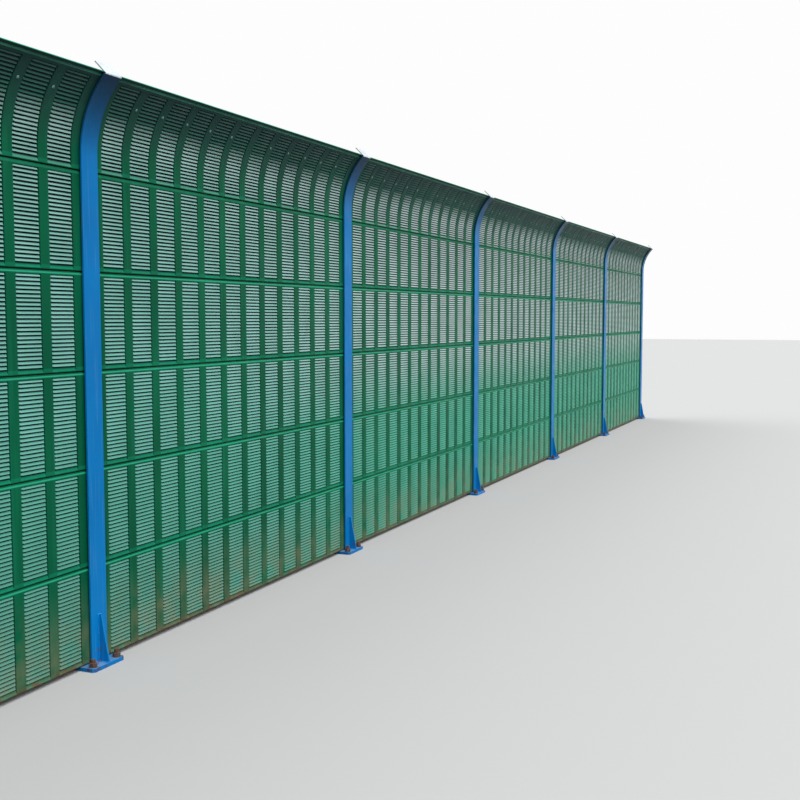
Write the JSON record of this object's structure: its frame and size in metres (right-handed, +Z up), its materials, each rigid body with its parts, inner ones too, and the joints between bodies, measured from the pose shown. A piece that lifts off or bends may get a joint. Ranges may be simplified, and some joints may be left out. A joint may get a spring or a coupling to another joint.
{
  "type": "highway noise barrier wall section",
  "caption": "Roadside noise barrier wall: bent-top steel H-posts on bolted base plates with stacked louvred metal acoustic panels and curved top panels",
  "frame": {"origin": "centre of the underside of the middle post's base plate, on the foundation", "axes": "+X along the wall, -Y towards the road side that the top bends to, +Z up"},
  "size_m": [18.25, 0.347, 3.0466],
  "materials": {
    "post_blue": "satin",
    "panel_green": "satin",
    "zinc_plate": "satin",
    "rubber": "matte"
  },
  "bodies": {
    "root": {"post_1": "post_blue", "post_2": "post_blue", "post_3": "post_blue", "post_4": "post_blue", "post_5": "post_blue", "post_6": "post_blue", "post_7": "post_blue", "base_plates": "post_blue", "gussets": "post_blue", "post_caps": "zinc_plate", "panel_bay_1_row_1": "panel_green", "panel_bay_1_row_2": "panel_green", "panel_bay_1_row_3": "panel_green", "panel_bay_1_row_4": "panel_green", "panel_bay_1_row_5": "panel_green", "panel_bay_2_row_1": "panel_green", "panel_bay_2_row_2": "panel_green", "panel_bay_2_row_3": "panel_green", "panel_bay_2_row_4": "panel_green", "panel_bay_2_row_5": "panel_green", "panel_bay_3_row_1": "panel_green", "panel_bay_3_row_2": "panel_green", "panel_bay_3_row_3": "panel_green", "panel_bay_3_row_4": "panel_green", "panel_bay_3_row_5": "panel_green", "panel_bay_4_row_1": "panel_green", "panel_bay_4_row_2": "panel_green", "panel_bay_4_row_3": "panel_green", "panel_bay_4_row_4": "panel_green", "panel_bay_4_row_5": "panel_green", "panel_bay_5_row_1": "panel_green", "panel_bay_5_row_2": "panel_green", "panel_bay_5_row_3": "panel_green", "panel_bay_5_row_4": "panel_green", "panel_bay_5_row_5": "panel_green", "panel_bay_6_row_1": "panel_green", "panel_bay_6_row_2": "panel_green", "panel_bay_6_row_3": "panel_green", "panel_bay_6_row_4": "panel_green", "panel_bay_6_row_5": "panel_green", "arc_panel_bay_1": "panel_green", "arc_panel_bay_2": "panel_green", "arc_panel_bay_3": "panel_green", "arc_panel_bay_4": "panel_green", "arc_panel_bay_5": "panel_green", "arc_panel_bay_6": "panel_green", "gaskets": "rubber"}
  },
  "joints": []
}
